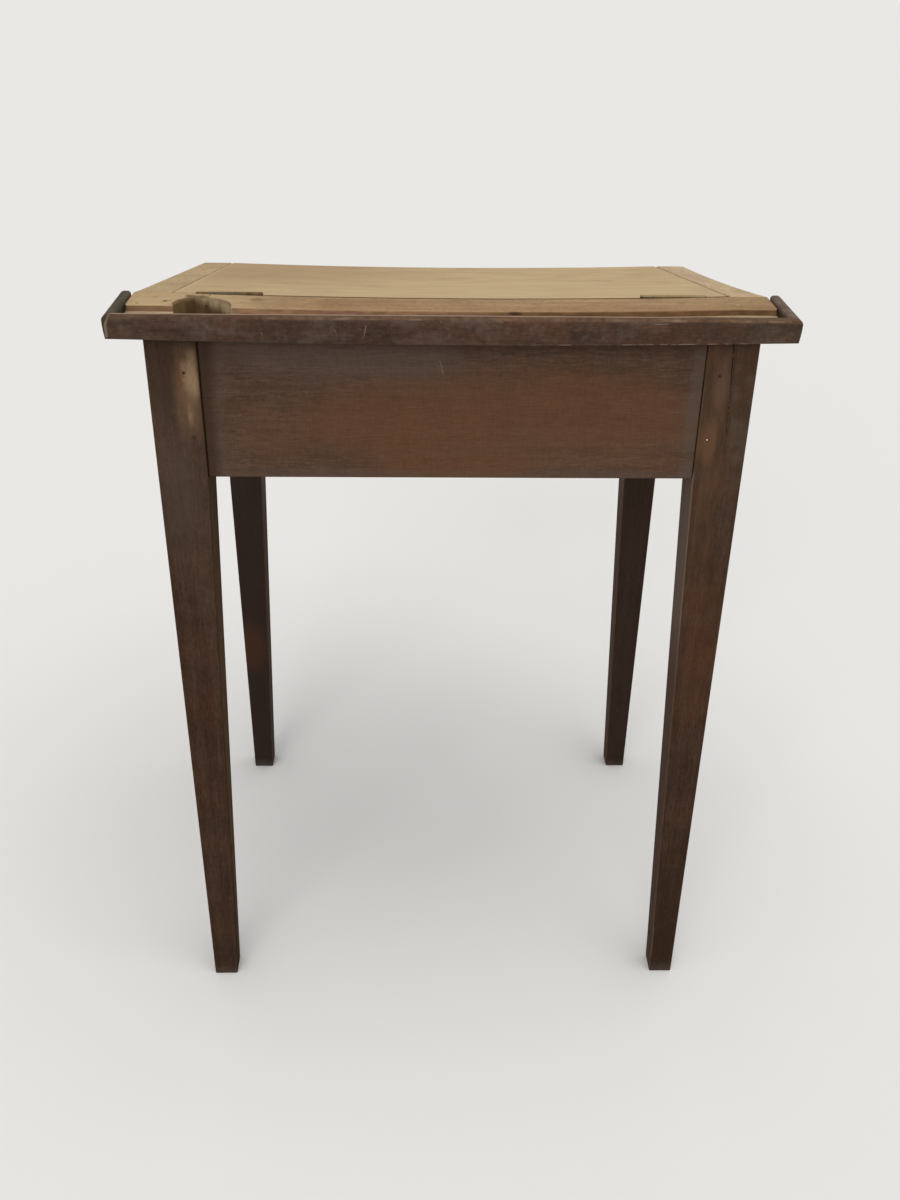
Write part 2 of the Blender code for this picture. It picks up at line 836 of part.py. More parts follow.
def make_pin(side_name, material):
    """The hinge pin with a low domed head at each end."""
    body = hinge_length + 2 * fit_gap
    profile = (
        (-pin_head_length, pin_head_radius / 2),
        (-pin_head_length / 2, pin_head_radius),
        (0, pin_head_radius),
        (0, pin_radius),
        (body, pin_radius),
        (body, pin_head_radius),
        (body + pin_head_length / 2, pin_head_radius),
        (body + pin_head_length, pin_head_radius / 2),
    )
    centre = hinge_axis + ACROSS * hinge_centres[side_name]
    bm = bmesh.new()
    add_turned(bm, profile, centre - ACROSS * body / 2, ACROSS, round_sides)
    finish_object(f"hinge_{side_name}_pin", bm, material, centre, smooth=True)


# Materials

def make_material(name, colour, roughness, metallic=0):
    material = bpy.data.materials.new(name)
    material.use_nodes = True
    shader = material.node_tree.nodes["Principled BSDF"]
    shader.inputs["Base Color"].default_value = (*colour, 1)
    shader.inputs["Roughness"].default_value = roughness
    shader.inputs["Metallic"].default_value = metallic
    material.diffuse_color = (*colour, 1)
    return material


def build():
    for thing in list(bpy.data.objects):
        bpy.data.objects.remove(thing)

    frame_wood = make_material("stained frame wood", (0.075, 0.040, 0.026), 0.55)
    top_wood = make_material("bare top wood", (0.42, 0.29, 0.16), 0.62)
    rail_wood = make_material("stained rail wood", (0.085, 0.050, 0.036), 0.5)
    end_wood = make_material("greyed end piece wood", (0.11, 0.085, 0.060), 0.6)
    box_wood = make_material("plain box wood", (0.25, 0.16, 0.085), 0.7)
    hinge_brass = make_material("tarnished brass", (0.16, 0.125, 0.075), 0.45, 1)
    nail_steel = make_material("dulled steel", (0.10, 0.09, 0.085), 0.5, 1)

    lid_axis = bpy.data.objects.new("lid_hinge_axis", None)
    lid_axis.location = hinge_axis
    bpy.context.scene.collection.objects.link(lid_axis)

    for end_name in ENDS:
        for side_name in SIDES:
            make_leg(side_name, end_name, frame_wood)
        make_cross_apron(end_name, frame_wood)
        cross_apron_brads(end_name).make(nail_steel)
    for number in range(floor_board_count):
        make_floor_board(number, box_wood)
    make_strip(top_wood)
    strip_nails().make(nail_steel)
    make_pencil_rail(rail_wood)
    make_lid_boards(lid_axis, top_wood)

    for side_name in SIDES:
        make_side_apron(side_name, frame_wood)
        side_apron_brads(side_name).make(nail_steel)
        make_side_rail(side_name, top_wood)
        side_rail_nails(side_name).make(nail_steel)
        make_end_piece(side_name, end_wood)
        make_batten(side_name, lid_axis, box_wood)
        batten_screws(side_name).make(nail_steel, lid_axis)
        make_leaf(side_name, -1, hinge_brass)
        hang_on(lid_axis, make_leaf(side_name, 1, hinge_brass))
        make_pin(side_name, hinge_brass)
        leaf_screws(side_name, -1).make(hinge_brass)
        leaf_screws(side_name, 1).make(hinge_brass, lid_axis)


build()
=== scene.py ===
import math

import bpy
from mathutils import Matrix, Vector


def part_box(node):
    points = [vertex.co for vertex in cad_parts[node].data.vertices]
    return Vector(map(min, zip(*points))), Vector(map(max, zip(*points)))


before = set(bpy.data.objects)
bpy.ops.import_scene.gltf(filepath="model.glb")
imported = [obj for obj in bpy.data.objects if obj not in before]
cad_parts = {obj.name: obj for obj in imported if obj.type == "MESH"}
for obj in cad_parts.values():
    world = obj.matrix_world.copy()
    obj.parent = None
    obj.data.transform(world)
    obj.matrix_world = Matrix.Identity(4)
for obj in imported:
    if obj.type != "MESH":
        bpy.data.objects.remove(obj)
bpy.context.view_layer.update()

X, Y, Z = 0, 1, 2

# camera: where it stands, how it is turned in degrees, and its lens in millimetres
CAMERA_PLACE = (-0.0237, -1.0564, 0.9402)
CAMERA_DOWN = 29.90
CAMERA_YAW = 1.56
CAMERA_ROLL = -0.87
CAMERA_LENS = 36.54

# studio: floor and backdrop as they look, the darker floor that lights the desk from below, the
# light of the room, and how far the floor reaches to each side
STUDIO_TONE = (0.80, 0.79, 0.77, 1.0)
BOUNCE_TONE = (0.17, 0.16, 0.15, 1.0)
ROOM_TONE = (0.48, 0.48, 0.48, 1.0)
FLOOR_REACH = 30.0

# wide soft lights: name, degrees to the left of the view, degrees up, softness, level
LIGHTS = (
    ("window_light", 14.0, 20.0, 40.0, 0.40),
    ("ceiling_light", -30.0, 75.0, 60.0, 0.42),
)

# tones of the stained frame
DARK_STAIN = (0.040, 0.0215, 0.0130, 1.0)
DEEP_STAIN = (0.052, 0.029, 0.0185, 1.0)
BROWN_STAIN = (0.076, 0.043, 0.0275, 1.0)
APRON_DEEP = (0.084, 0.049, 0.032, 1.0)
APRON_BROWN = (0.112, 0.066, 0.044, 1.0)
RUST_STAIN = (0.150, 0.058, 0.027, 1.0)
WARM_STAIN = (0.150, 0.078, 0.042, 1.0)
GREY_BLOOM = (0.112, 0.086, 0.070, 1.0)
PINK_WORN = (0.165, 0.086, 0.062, 1.0)
WARM_WORN = (0.185, 0.108, 0.062, 1.0)
BARE_WOOD = (0.360, 0.238, 0.140, 1.0)
SHADED_STAIN = (0.044, 0.030, 0.0245, 1.0)
# painted sheen of the legs' inner sides: browner low down, greyer higher up
SHEEN_BROWN = (0.136, 0.088, 0.066, 1.0)
SHEEN_GREY = (0.246, 0.182, 0.142, 1.0)
FLOOR_DUST = (0.120, 0.095, 0.078, 1.0)
SEAM_DARK = (0.012, 0.007, 0.004, 1.0)

# tones of the sanded top
PALE_TAN = (0.570, 0.425, 0.245, 1.0)
GOLD_TAN = (0.480, 0.348, 0.198, 1.0)
BROWN_TAN = (0.350, 0.235, 0.130, 1.0)
PINK_TAN = (0.450, 0.330, 0.225, 1.0)
LAND_PALE = (0.410, 0.275, 0.150, 1.0)
LAND_TAN = (0.330, 0.208, 0.108, 1.0)
LAND_BROWN = (0.220, 0.132, 0.068, 1.0)
FILLER_TAN = (0.400, 0.285, 0.165, 1.0)
STEP_BROWN = (0.165, 0.088, 0.042, 1.0)
STEP_TAN = (0.290, 0.175, 0.098, 1.0)
STEP_RED = (0.250, 0.130, 0.090, 1.0)
TRAY_PALE = (0.450, 0.355, 0.225, 1.0)
KNOT_BROWN = (0.055, 0.032, 0.018, 1.0)
GRIME = (0.085, 0.052, 0.026, 1.0)
WELL_DARK = (0.105, 0.060, 0.027, 1.0)
WELL_BROWN = (0.220, 0.135, 0.058, 1.0)
WELL_OLIVE = (0.400, 0.300, 0.175, 1.0)

# tones of the rail, its end pieces, the box and the metal
RAIL_DARK = (0.050, 0.0285, 0.0200, 1.0)
RAIL_BROWN = (0.086, 0.047, 0.0300, 1.0)
RAIL_BLOOM = (0.125, 0.086, 0.066, 1.0)
RAIL_WORN = (0.340, 0.245, 0.180, 1.0)
RAIL_TOP = (0.165, 0.088, 0.046, 1.0)
OLIVE_DARK = (0.050, 0.038, 0.022, 1.0)
OLIVE_BROWN = (0.088, 0.068, 0.042, 1.0)
ASH_DARK = (0.090, 0.060, 0.040, 1.0)
ASH_BROWN = (0.165, 0.118, 0.082, 1.0)
DEAL_PALE = (0.480, 0.340, 0.195, 1.0)
DEAL_BROWN = (0.310, 0.195, 0.105, 1.0)
BRASS_DULL = (0.155, 0.105, 0.048, 1.0)
BRASS_GREY = (0.120, 0.100, 0.066, 1.0)
BRASS_DARK = (0.050, 0.034, 0.017, 1.0)
BRASS_RUBBED_LIT = (0.330, 0.235, 0.120, 1.0)
STEEL_GREY = (0.105, 0.082, 0.062, 1.0)
STEEL_RUST = (0.050, 0.026, 0.016, 1.0)
STEEL_BRIGHT = (0.700, 0.640, 0.540, 1.0)

# how far grain and fine pitting stand up, how much relief adds to roughness, and how dry wood,
# waxed wood and old metal shine
GRAIN_DEPTH = 0.00012
PITTING_DEPTH = 0.00004
RELIEF_ROUGHENS = 0.2
DRY_GLOSS = 0.02
WAXED_GLOSS = 0.10
OLD_METAL = 0.1

# places and sizes on the desk, in metres
LEG_SIDE = 0.039
FOOT_SIDE = 0.022
KNEE_HEIGHT = 0.544
REAR_FACE = -0.1765
APRON_FACE = -0.1745
FRONT_FACE = 0.1835
STEP_LINE = -0.1535
LAND_HEIGHT = 0.675
TRAY_HEIGHT = 0.670
TOP_HOLLOW = 0.0032
HOLLOW_REACH = 0.2159
RAIL_FOOT = 0.661
RAIL_BOW = 0.0029
BOW_REACH = 0.2452
HOLE_CENTRE = (-0.188, -0.152)
HOLE_RADIUS = 0.0215
HINGE_LINE = -0.1205
LID_FALL = math.tan(math.radians(10.5))
LID_UNDERSIDE = 0.0075

# how far in from the legs' rear face the marks fade: those on a leg and those on the apron
LEG_MARK_DEPTH = 0.02
APRON_MARK_DEPTH = 0.05

# between these two x the joint of strip and lid turns grimy, and it stays so to the right
GRIMY_FROM = (-0.155, -0.140)

# thin scratches on the pencil rail: from and to (x, z), and half the width
RAIL_SCRATCHES = (
    ((-0.1397, 0.6668), (-0.1385, 0.6610), 0.0006),
    ((-0.0872, 0.6690), (-0.0832, 0.6632), 0.0005),
    ((-0.0640, 0.6722), (-0.0662, 0.6612), 0.0007),
    ((-0.0118, 0.6776), (-0.0094, 0.6752), 0.0006),
    ((0.0300, 0.6764), (0.0350, 0.6756), 0.0007),
    ((0.1460, 0.6748), (0.1560, 0.6752), 0.0004),
)


class Value:
    """A shader socket that Python's arithmetic works on, each operation a Math node."""

    def __init__(self, mix, socket):
        self.mix = mix
        self.socket = socket

    def __add__(self, other):
        return self.mix.maths("ADD", self, other)

    def __sub__(self, other):
        return self.mix.maths("SUBTRACT", self, other)

    def __rsub__(self, other):
        return self.mix.maths("SUBTRACT", other, self)

    def __mul__(self, other):
        return self.mix.maths("MULTIPLY", self, other)

    def __abs__(self):
        return self.mix.maths("ABSOLUTE", self)

    __radd__ = __add__
    __rmul__ = __mul__


class Mix:
    """The nodes of one material or of the world, and the few ways in which recipes add them."""

    def __init__(self, owner):
        owner.use_nodes = True
        self.tree = owner.node_tree
        self.tree.nodes.clear()

    def node(self, kind, settings=None, sockets=None, output=0):
        """A node of that kind: its settings first, then its sockets' values or links."""
        made = self.tree.nodes.new("ShaderNode" + kind)
        for name, setting in (settings or {}).items():
            setattr(made, name, setting)
        for name, value in (sockets or {}).items():
            if isinstance(value, Value):
                self.tree.links.new(value.socket, made.inputs[name])
            else:
                made.inputs[name].default_value = value
        return Value(self, made.outputs[output]) if made.outputs else None

    def maths(self, operation, *terms):
        """A Math node of that operation on those terms."""
        return self.node("Math", {"operation": operation}, dict(enumerate(terms)))

    def vector(self, operation, *terms, output=0):
        """A Vector Math node; its output 1 is the number that a length or a product gives."""
        return self.node("VectorMath", {"operation": operation}, dict(enumerate(terms)), output)

    def blend(self, mask, below, above):
        """The colour below where the mask is 0 and the colour above where it is 1."""
        return self.node("Mix", {"data_type": "RGBA"}, {0: mask, 6: below, 7: above}, 2)

    def lit(self, colour, share):
        """The colour made lighter or darker by a share that changes over the surface."""
        if not isinstance(colour, Value):
            colour = colour[:3]
        return self.node("VectorMath", {"operation": "SCALE"}, {0: colour, 3: share})

    def band(self, value, start, end):
        """0 up to start and 1 from end on, with a soft step between; start may be the larger."""
        settings = {"interpolation_type": "SMOOTHSTEP"}
        return self.node("MapRange", settings, {0: value, 1: start, 2: end})

    def most(self, first, *others):
        """The largest of some values."""
        for other in others:
            first = self.maths("MAXIMUM", first, other)
        return first

    def least(self, first, *others):
        """The smallest of some values."""
        for other in others:
            first = self.maths("MINIMUM", first, other)
        return first


class Finish(Mix):
    """A material for one piece, mixed by the place on the piece, in metres."""

    def __init__(self, name):
        self.material = bpy.data.materials.new(name)
        super().__init__(self.material)
        self.place = self.node("TexCoord", output="Object")
        apart = self.node("SeparateXYZ", sockets={0: self.place}).socket.node
        self.at = [Value(self, socket) for socket in apart.outputs]

    def noise(self, rates, seed, detail=2.0, output=0):
        """Noise with that many changes to the metre along each axis."""
        shift = (seed, seed * 1.7, seed * 2.3)
        place = self.vector("MULTIPLY_ADD", self.place, rates, shift)
        sockets = {"Vector": place, "Scale": 1.0, "Detail": detail}
        return self.node("TexNoise", sockets=sockets, output=output)

    def clouds(self, rate, seed, detail=3.0):
        """Noise with no direction."""
        return self.noise((rate, rate, rate), seed, detail)

    def patches(self, rate, seed, low, high, detail=3.0):
        """Soft-edged patches: 0 where the noise is under low and 1 where it is over high."""
        return self.band(self.clouds(rate, seed, detail), low, high)

    def streaks(self, grain, along, across, seed, detail=2.0):
        """Noise drawn out along the grain."""
        rates = [across] * 3
        rates[grain] = along
        return self.noise(rates, seed, detail)

    def spot(self, centre, reach, soft=0.2):
        """1 in the middle of an ellipsoid, fading from the soft share of its reach to its rim."""
        rates = [1 / size for size in reach]
        shift = [-place / size for place, size in zip(centre, reach)]
        offset = self.vector("MULTIPLY_ADD", self.place, rates, shift)
        return self.band(self.vector("LENGTH", offset, output=1), 1.0, soft)

    def stroke(self, start, end, half_width):
        """1 along a thin straight stroke between two places, fading to its sides."""
        run = Vector(end) - Vector(start)
        offset = self.vector("SUBTRACT", self.place, start)
        along = self.vector("DOT_PRODUCT", offset, run / run.length_squared, output=1)
        share = self.least(self.most(along, 0.0), 1.0)
        nearest = self.vector("MULTIPLY_ADD", share, run, start)
        return self.band(self.vector("DISTANCE", self.place, nearest, output=1), half_width, 0.0)

    def rings(self, grain, heart, spacing, seed):
        """0 in a ring's soft early wood and 1 in its hard late wood, round the tree's heart."""
        rates = [7.0] * 3
        rates[grain] = 1.6
        sway = self.noise(rates, seed, 2.0, output=1)
        swayed = self.vector("MULTIPLY_ADD", sway, (0.04, 0.04, 0.04), self.place)
        across = [1.0] * 3
        across[grain] = 0.0
        from_heart = self.vector("MULTIPLY_ADD", swayed, across, [-place for place in heart])
        phase = self.maths("FRACT", self.vector("LENGTH", from_heart, output=1) * (1 / spacing))
        return self.band(phase, 0.20, 0.80) * self.band(phase, 1.0, 0.84)

    def pores(self, grain, seed):
        """Short dark pores that open along the grain."""
        return self.band(self.streaks(grain, 120.0, 1500.0, seed, 1.0), 0.62, 0.74)

    def worn_edges(self, lows, highs, width, seed, ragged=0.8):
        """1 along the edges of a block between those faces, broken up by noise."""
        a, b, c = [
            self.least(value - low, high - value)
            for value, low, high in zip(self.at, lows, highs)
        ]
        to_edge = self.most(self.least(a, b), self.least(b, c), self.least(a, c))
        rough = self.clouds(90.0, seed, 4.0) * (2 * ragged * width) - ragged * width
        return self.band(to_edge + rough, width, 0.0)

    def done(self, colour, roughness, relief, depth=GRAIN_DEPTH, gloss=DRY_GLOSS, metal=0.0):
        """Closes the recipe and gives the material."""
        bump = self.node("Bump", sockets={"Height": relief, "Distance": depth, "Strength": 1.0})
        shader = self.node("BsdfPrincipled", sockets={
            "Base Color": colour,
            "Roughness": roughness,
            "Metallic": metal,
            "Specular IOR Level": gloss,
            "Normal": bump,
        })
        self.node("OutputMaterial", sockets={0: shader})
        return self.material

    def done_as_wood(self, colour, relief, roughness, gloss=DRY_GLOSS):
        """Closes the recipe of a wood, rougher where its relief stands higher."""
        return self.done(colour, relief * RELIEF_ROUGHENS + roughness, relief, gloss=gloss)

    def done_as_metal(self, colour, roughness, pitting):
        """Closes the recipe of an old metal under its tarnish."""
        return self.done(colour, roughness, pitting, PITTING_DEPTH, metal=OLD_METAL)


def wear_on(name, material):
    """Gives a node its finish on every slot of its mesh."""
    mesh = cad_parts[name].data
    if not mesh.materials:
        mesh.materials.append(material)
    for slot in range(len(mesh.materials)):
        mesh.materials[slot] = material


# the two kinds of wood


def sanded_wood(name, grain, heart, seed, tones):
    """Bare sanded wood. Gives the finish, its colour and its relief, for marks to be added."""
    mix = Finish(name)
    pale, middle, brown = tones
    rings = mix.rings(grain, heart, 0.0085, seed)
    blotches = mix.streaks(grain, 13.0, 32.0, seed + 1, 4.0)
    bands = mix.streaks(grain, 3.0, 95.0, seed + 2, 3.0)
    fine = mix.streaks(grain, 22.0, 420.0, seed + 3, 2.0)
    fibres = mix.streaks(grain, 80.0, 1600.0, seed + 4, 1.0)
    colour = mix.blend(mix.band(blotches * 0.6 + bands * 0.4, 0.38, 0.62), pale, middle)
    colour = mix.blend(rings * 0.16, colour, brown)
    colour = mix.blend(mix.patches(26.0, seed + 5, 0.50, 0.72, 4.0) * 0.35, colour, brown)
    colour = mix.blend(mix.pores(grain, seed) * 0.35, colour, brown)
    fuzz = mix.clouds(420.0, seed + 6, 2.0)
    colour = mix.lit(colour, blotches * 0.36 + fine * 0.55 + fibres * 0.35 + fuzz * 0.28 + 0.24)
    return mix, colour, fibres * 0.6 + fine * 0.4 - rings * 0.3


def open_grain(mix, grain, seed):
    """The dashes, fibres, fuzz and pores of stained wood, and the relief that they make."""
    dashes = mix.streaks(grain, 75.0, 640.0, seed + 2, 2.0)
    fibres = mix.streaks(grain, 170.0, 1500.0, seed + 3, 1.0)
    fuzz = mix.clouds(540.0, seed + 6, 2.0)
    pores = mix.pores(grain, seed)
    relief = fibres * 0.4 + dashes * 0.4 + fuzz * 0.2 - pores * 0.8
    return (dashes, fibres, fuzz, pores), relief


def stained_wood(name, grain, seed, rust=0.25, bloom=0.25, tones=(DEEP_STAIN, BROWN_STAIN)):
    """Old dark stained wood. Gives the finish, its colour and its relief, for marks to be added."""
    mix = Finish(name)
    mottle = mix.clouds(34.0, seed, 3.0)
    bands = mix.streaks(grain, 7.0, 170.0, seed + 1, 3.0)
    (dashes, fibres, fuzz, pores), relief = open_grain(mix, grain, seed)
    colour = mix.blend(mix.band(mottle * 0.4 + bands * 0.6, 0.34, 0.66), *tones)
    colour = mix.blend(mix.patches(24.0, seed + 4, 0.44, 0.68, 4.0) * rust, colour, RUST_STAIN)
    colour = mix.blend(mix.patches(58.0, seed + 5, 0.50, 0.74, 4.0) * bloom, colour, GREY_BLOOM)
    colour = mix.blend(pores * 0.35, colour, DARK_STAIN)
    colour = mix.lit(colour, dashes * 0.80 + fibres * 0.50 + fuzz * 0.60 + 0.05)
    return mix, colour, relief


def sunk(mix):
    """How far the hollowed top lies lower than at its ends."""
    x = mix.at[X] * (1 / HOLLOW_REACH)
    return mix.most(1.0 - x * x, 0.0) * TOP_HOLLOW


def with_well(mix, colour):
    """The inkwell hole's wall: brown, black with ink and painted shade, olive and rubbed on the
    right.

    Gives the colour with that wall, the distance from the hole's axis, and its dirt and shade
    noise.
    """
    x, z = mix.at[X], mix.at[Z]
    centre_x, centre_y = HOLE_CENTRE
    offset = mix.vector("MULTIPLY_ADD", mix.place, (1, 1, 0), (-centre_x, -centre_y, 0))
    from_axis = mix.vector("LENGTH", offset, output=1)
    soiled = mix.noise((190.0, 190.0, 70.0), 4.0, 5.0)
    wavy = x + soiled * 0.016 - 0.008
    leaning = wavy + (z - TRAY_HEIGHT) * 2.0
    # black with ink and painted shade, reaching further right towards the foot as a painted shadow
    inside = mix.blend(mix.band(wavy, -0.207, -0.200), WELL_BROWN, WELL_DARK)
    inside = mix.blend(mix.band(leaning, -0.200, -0.176), inside, WELL_OLIVE)
    # painted shade at the foot of the wall
    inside = mix.blend(mix.band(z + soiled * 0.006, 0.6685, 0.6635), inside, WELL_DARK)
    inside = mix.lit(inside, soiled * 1.2 + 0.45)
    wall = mix.band(from_axis, HOLE_RADIUS + 0.0011, HOLE_RADIUS + 0.0003)
    cleaner = mix.band(wavy, -0.190, -0.176) * 0.0025
    below_rim = mix.band(z + soiled * 0.006 + cleaner, 0.6800, 0.6755)
    return mix.blend(wall * below_rim, colour, inside), from_axis, soiled


# the frame


def leg_faces(mix, side, end):
    """The planes of a leg's faces, the inner two leaning in below the knee."""
    taper = (LEG_SIDE - FOOT_SIDE) / KNEE_HEIGHT
    width = mix.least(mix.at[Z], KNEE_HEIGHT) * taper + FOOT_SIDE
    low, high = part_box(f"leg_{end}_{side}")
    lows, highs = list(low), list(high)
    if side == "left":
        highs[X] = width + low[X]
    else:
        lows[X] = high[X] - width
    if end == "rear":
        highs[Y] = width + low[Y]
    else:
        lows[Y] = high[Y] - width
    return lows, highs


def leg_finish(side, end, seed, greyed, marks):
    """A stained leg, darker towards the floor, painted grey sheen on its inner side, a dusty foot.
    """
    name = f"leg_{end}_{side}"
    mix, colour, relief = stained_wood(name + "_wood", Z, seed, rust=0.14, bloom=0.14)
    x, z = mix.at[X], mix.at[Z]
    lows, highs = leg_faces(mix, side, end)
    height = mix.band(z + mix.clouds(9.0, seed) * 0.08, -0.05, 0.62)
    colour = mix.blend(mix.band(z, 0.42, 0.64) * 0.12, colour, OLIVE_BROWN)
    colour, relief = marks(mix, colour, relief)
    inward = highs[X] - x if side == "left" else x - lows[X]
    grain = mix.streaks(Z, 40.0, 500.0, seed + 7, 3.0) * 0.7 + 0.65
    # painted sheen on the inner side face: browner low down, greyer higher up
    sheen_tone = mix.blend(mix.band(z, 0.34, 0.43), SHEEN_BROWN, SHEEN_GREY)
    inner_sheen = mix.band(inward, 0.0010, 0.0003) * mix.band(z, 0.552, 0.545) * greyed
    colour = mix.blend(inner_sheen, colour, mix.lit(sheen_tone, grain))
    colour = mix.lit(colour, height * 0.25 + 0.74)
    worn = mix.worn_edges(lows, highs, 0.0013, seed)
    colour = mix.blend(worn * 0.30, colour, WARM_WORN)
    dusty = mix.band(z + mix.noise((90.0, 90.0, 45.0), seed) * 0.014, 0.020, 0.008)
    colour = mix.blend(dusty * 0.35, colour, FLOOR_DUST)
    if (side, end) == ("left", "rear"):
        colour = with_well(mix, colour)[0]
    wear_on(name, mix.done_as_wood(colour, relief, 0.65))


def on_rear_face(mix):
    """1 on the rear face of the rear legs and 0 on their other faces."""
    return mix.band(mix.at[Y], REAR_FACE + 0.003, REAR_FACE + 0.001)


def rear_spot(mix, place, reach, soft=0.0, depth=LEG_MARK_DEPTH):
    """A spot on the rear of the desk, by its place and its reach along x and z."""
    return mix.spot((place[0], REAR_FACE, place[1]), (reach[0], depth, reach[1]), soft)


def rubbed_patch(mix, colour, relief):
    """The left rear leg's stain is rubbed through beside the apron, tapering off downwards."""
    on_face = on_rear_face(mix)
    ragged = mix.streaks(Z, 50.0, 260.0, 3.0, 4.0) * 0.6 + mix.clouds(110.0, 4.0, 5.0) * 0.6
    heart = rear_spot(mix, (-0.1968, 0.6270), (0.0160, 0.0380))
    tail = rear_spot(mix, (-0.2005, 0.5970), (0.0085, 0.0380))
    wide = rear_spot(mix, (-0.2000, 0.6130), (0.0200, 0.0640))
    mauve = rear_spot(mix, (-0.2180, 0.6150), (0.0150, 0.0600), 0.1)
    greyed = rear_spot(mix, (-0.2140, 0.5350), (0.0280, 0.1200), 0.1)
    colour = mix.blend(greyed * on_face * 0.31, colour, GREY_BLOOM)
    colour = mix.blend(mauve * on_face * 0.35, colour, SHADED_STAIN)
    thinned = mix.band(wide * 1.2 + ragged, 0.75, 1.75) * on_face
    colour = mix.blend(thinned * 0.70, colour, WARM_WORN)
    rubbed = mix.band(mix.most(heart * 1.20, tail * 0.72) + ragged, 0.95, 1.95)
    uneven = mix.streaks(Z, 160.0, 700.0, 8.0, 3.0) * 0.9 + 0.35
    colour = mix.blend(rubbed * uneven * on_face, colour, BARE_WOOD)
    by_brad = rear_spot(mix, (-0.2035, 0.6250), (0.0050, 0.0080), 0.2)
    by_brad = by_brad * mix.patches(480.0, 5.0, 0.40, 0.62, 2.0)
    colour = mix.blend(by_brad * on_face * 0.60, colour, RUST_STAIN)
    seam = mix.band(mix.at[X], -0.1935, -0.1900) * on_face
    return mix.blend(seam * 0.35, colour, DARK_STAIN), relief


def crack_and_warm_band(mix, colour, relief):
    """The right rear leg: warmer between the apron and a drying crack, and the crack itself."""
    x, z = mix.at[X], mix.at[Z]
    above = mix.most(z - 0.555, 0.0)
    wander = mix.noise((1.0, 1.0, 90.0), 2.0, 3.0) * 0.0018
    path = 0.2140 - above * above * 0.37 - wander
    from_crack = x - path
    patchy = mix.streaks(Z, 20.0, 120.0, 6.0, 4.0)
    on_face = on_rear_face(mix)
    warm = mix.band(from_crack, 0.0015, -0.0025) * mix.band(z, 0.40, 0.56)
    colour = mix.blend(warm * on_face * mix.band(patchy, 0.25, 0.75) * 0.55, colour, WARM_STAIN)
    high = rear_spot(mix, (0.2040, 0.6250), (0.0130, 0.034))
    high = mix.band(high + patchy * 0.4, 0.25, 1.05) * on_face
    colour = mix.blend(high * 0.50, colour, PINK_WORN)
    low = rear_spot(mix, (0.1990, 0.5760), (0.0120, 0.032))
    low = mix.band(low + patchy * 0.4, 0.30, 1.05) * on_face
    colour = mix.blend(low * 0.35, mix.blend(low * 0.45, colour, WARM_WORN), RUST_STAIN)
    reddened = rear_spot(mix, (0.2150, 0.385), (0.030, 0.110))
    colour = mix.blend(reddened * 0.28, colour, RUST_STAIN)
    chipped = mix.stroke((0.2072, REAR_FACE, 0.060), (0.2080, REAR_FACE, 0.026), 0.0007)
    colour = mix.blend(chipped * 0.6, colour, RAIL_WORN)
    outer = mix.band(from_crack, 0.001, 0.004) * on_face * mix.band(z, 0.48, 0.58)
    colour = mix.blend(outer * 0.15, colour, WARM_STAIN)
    colour = mix.blend(outer * mix.patches(75.0, 7.0, 0.46, 0.68, 4.0) * 0.4, colour, GREY_BLOOM)
    broken = mix.noise((1.0, 1.0, 200.0), 8.0, 3.0) + mix.band(z, 0.600, 0.652) * 0.2
    crack = mix.band(abs(from_crack), 0.00042, 0.00010) * mix.band(z, 0.530, 0.620)
    crack = crack * on_face * mix.band(broken, 0.40, 0.60)
    colour = mix.blend(mix.band(z, 0.22, 0.04) * 0.5, colour, DARK_STAIN)
    return mix.blend(crack * 0.9, colour, SEAM_DARK), relief - crack * 5.0


def dark_stain_and_shade(mix, colour, relief, darkening=0.55):
    """Front legs: darker, darkest on their rear faces; partly stain and partly painted shade."""
    rear_face = mix.at[Y] - (FRONT_FACE - LEG_SIDE)
    dark = mix.band(rear_face, LEG_SIDE, 0.6 * LEG_SIDE)
    # painted shade on the rear faces, and the whole leg a little darker
    return mix.blend(dark * darkening, mix.lit(colour, 0.85), SHADED_STAIN), relief


def red_patch(mix, colour, relief):
    """The left front leg is redder low on its rear face, most at its outer edge."""
    # painted shade with a darker stain, most on the rear face
    colour, relief = dark_stain_and_shade(mix, colour, relief, 0.80)
    glow = mix.spot((-0.2220, 0.1600, 0.1780), (0.030, 0.03, 0.055), 0.0)
    ragged = mix.clouds(60.0, 9.0, 4.0)
    return mix.blend(mix.band(glow + ragged * 0.2, 0.10, 0.90) * 0.32, colour, RUST_STAIN), relief


